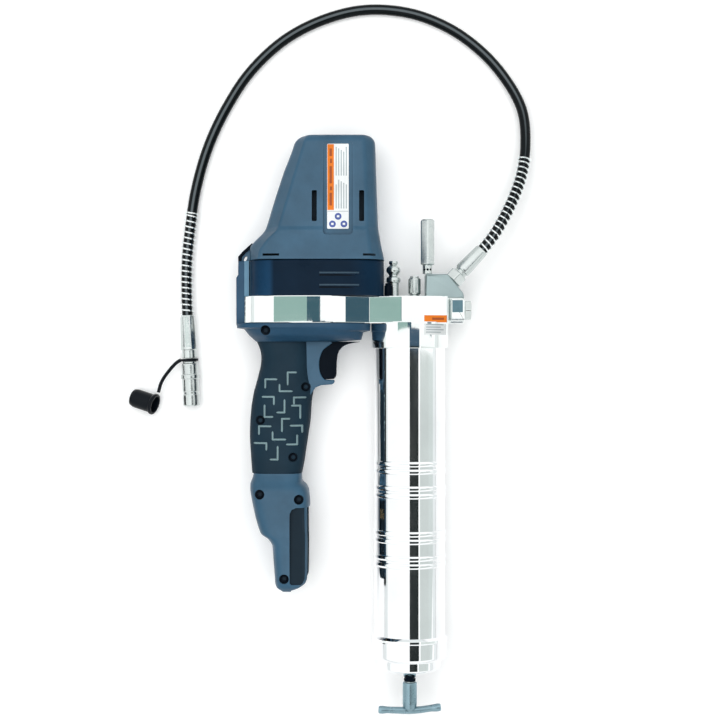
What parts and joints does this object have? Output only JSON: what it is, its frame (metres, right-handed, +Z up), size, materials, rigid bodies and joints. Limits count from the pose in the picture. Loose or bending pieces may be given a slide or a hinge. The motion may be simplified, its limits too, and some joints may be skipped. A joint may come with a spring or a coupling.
{
  "type": "cordless grease gun",
  "caption": "Cordless grease gun lying on its side: motor housing over a polished pump head, grip, chromed barrel with T-handle, flexible hose with coupler and dust cap.",
  "frame": {"origin": "centre of the tool's bounding box at the level it lies on, hose and coupler left out", "axes": "+Y along the barrel from T-handle to motor, +X from the grip to the outlet, +Z up through the right cheek"},
  "size_m": [0.3324, 0.5823, 0.076],
  "materials": {
    "polished_aluminium": "polished",
    "bright_steel": "satin",
    "chrome": "bright plated",
    "gear_steel": "machined",
    "brass": "plain",
    "zinc_plate": "blue zinc plated",
    "shell_blue": "fine texture",
    "case_dark": "satin",
    "grip_rubber": "matt",
    "rib_grey": "matt",
    "black_plastic": "satin",
    "black_rubber": "matt",
    "board_green": "lacquered",
    "label": "printed film",
    "copper": "enamelled wire"
  },
  "bodies": {
    "head": {"pump_head": "polished_aluminium", "outlet_plug": "bright_steel", "check_spring": "gear_steel", "relief_valve": "bright_steel", "loader_fitting": "brass", "vent_plug": "black_plastic", "hose_adapter": "bright_steel", "inlet_ferrule": "bright_steel", "hose": "black_rubber", "inlet_guard": "bright_steel", "outlet_guard": "bright_steel", "coupler_ferrule": "bright_steel", "coupler_body": "bright_steel", "coupler_sleeve": "bright_steel", "coupler_jaws": "gear_steel", "cap_tether": "black_rubber", "dust_cap": "black_rubber", "gear_cover": "case_dark", "ring_gear": "gear_steel", "main_bearing": "gear_steel", "motor_plate": "polished_aluminium", "motor_can": "gear_steel", "motor_magnets": "case_dark", "plunger_seal": "black_rubber", "shell_right": "shell_blue", "shell_left": "shell_blue", "grip_rubber_right": "grip_rubber", "grip_rubber_left": "grip_rubber", "grip_ribs_right": "rib_grey", "grip_ribs_left": "rib_grey", "trigger_spring": "gear_steel", "trigger_switch": "black_plastic", "control_board": "board_green", "terminal_block": "black_plastic", "terminal_blades": "brass", "shell_screws": "bright_steel", "strap_bar": "black_plastic", "info_label": "label", "head_label": "label", "barrel_gasket": "black_rubber"},
    "ball": {"check_ball": "bright_steel"},
    "bleeder": {"bleeder_valve": "bright_steel"},
    "rotor": {"motor_shaft": "gear_steel", "armature": "copper", "motor_fan": "black_plastic", "sun_gear": "gear_steel"},
    "carrier": {"planet_carrier": "gear_steel", "crank": "gear_steel"},
    "planet_a": {"planet_1": "gear_steel"},
    "planet_b": {"planet_2": "gear_steel"},
    "planet_c": {"planet_3": "gear_steel"},
    "plunger": {"plunger": "bright_steel"},
    "trigger": {"trigger": "black_plastic"},
    "barrel": {"barrel": "chrome", "barrel_end_cap": "chrome", "rod_bush": "black_plastic", "follower_spring": "gear_steel"},
    "follower": {"follower": "black_rubber"},
    "rod": {"pull_rod": "bright_steel", "t_handle": "zinc_plate"}
  },
  "joints": [
    {"name": "barrel_off", "type": "slide", "parent": "head", "child": "barrel", "axis": [0, -1, 0], "range_m": [0, 0.03]},
    {"name": "follower_slide", "type": "slide", "parent": "barrel", "child": "follower", "axis": [0, -1, 0], "range_m": [0, 0.19], "stiffness_N_per_m": 60, "springref_m": -0.05, "deforming": ["follower_spring"]},
    {"name": "rod_turn", "type": "hinge", "parent": "follower", "child": "rod", "pos_m": [0.0452, -0.2061, 0.038], "axis": [0, 1, 0], "continuous": true},
    {"name": "trigger_pull", "type": "slide", "parent": "head", "child": "trigger", "axis": [-1, 0, 0], "range_m": [0, 0.007], "stiffness_N_per_m": 700, "springref_m": -0.003, "deforming": ["trigger_spring"]},
    {"name": "bleeder_turn", "type": "hinge", "parent": "head", "child": "bleeder", "pos_m": [0.049, 0.1089, 0.038], "axis": [0, 1, 0], "range_deg": [0, 360]},
    {"name": "ball_lift", "type": "slide", "parent": "head", "child": "ball", "axis": [1, 0, 0], "range_m": [0, 0.0015], "stiffness_N_per_m": 200, "springref_m": -0.001, "deforming": ["check_spring"]},
    {"name": "rotor_spin", "type": "hinge", "parent": "head", "child": "rotor", "pos_m": [-0.0126, 0.1539, 0.038], "axis": [0, 1, 0], "continuous": true},
    {"name": "carrier_spin", "type": "hinge", "parent": "head", "child": "carrier", "pos_m": [-0.0126, 0.1089, 0.038], "axis": [0, 1, 0], "continuous": true},
    {"name": "planet_a_spin", "type": "hinge", "parent": "carrier", "child": "planet_a", "pos_m": [0.0024, 0.1249, 0.038], "axis": [0, 1, 0], "continuous": true},
    {"name": "planet_b_spin", "type": "hinge", "parent": "carrier", "child": "planet_b", "pos_m": [-0.0201, 0.1249, 0.05099], "axis": [0, 1, 0], "continuous": true},
    {"name": "planet_c_spin", "type": "hinge", "parent": "carrier", "child": "planet_c", "pos_m": [-0.0201, 0.1249, 0.02501], "axis": [0, 1, 0], "continuous": true},
    {"name": "plunger_stroke", "type": "slide", "parent": "head", "child": "plunger", "axis": [1, 0, 0], "range_m": [-0.006, 0.006]}
  ],
  "couplings": [
    {"joint": "carrier_spin", "follows": "rotor_spin", "ratio": 0.2},
    {"joint": "planet_a_spin", "follows": "rotor_spin", "ratio": -0.53333},
    {"joint": "planet_b_spin", "follows": "rotor_spin", "ratio": -0.53333},
    {"joint": "planet_c_spin", "follows": "rotor_spin", "ratio": -0.53333}
  ]
}
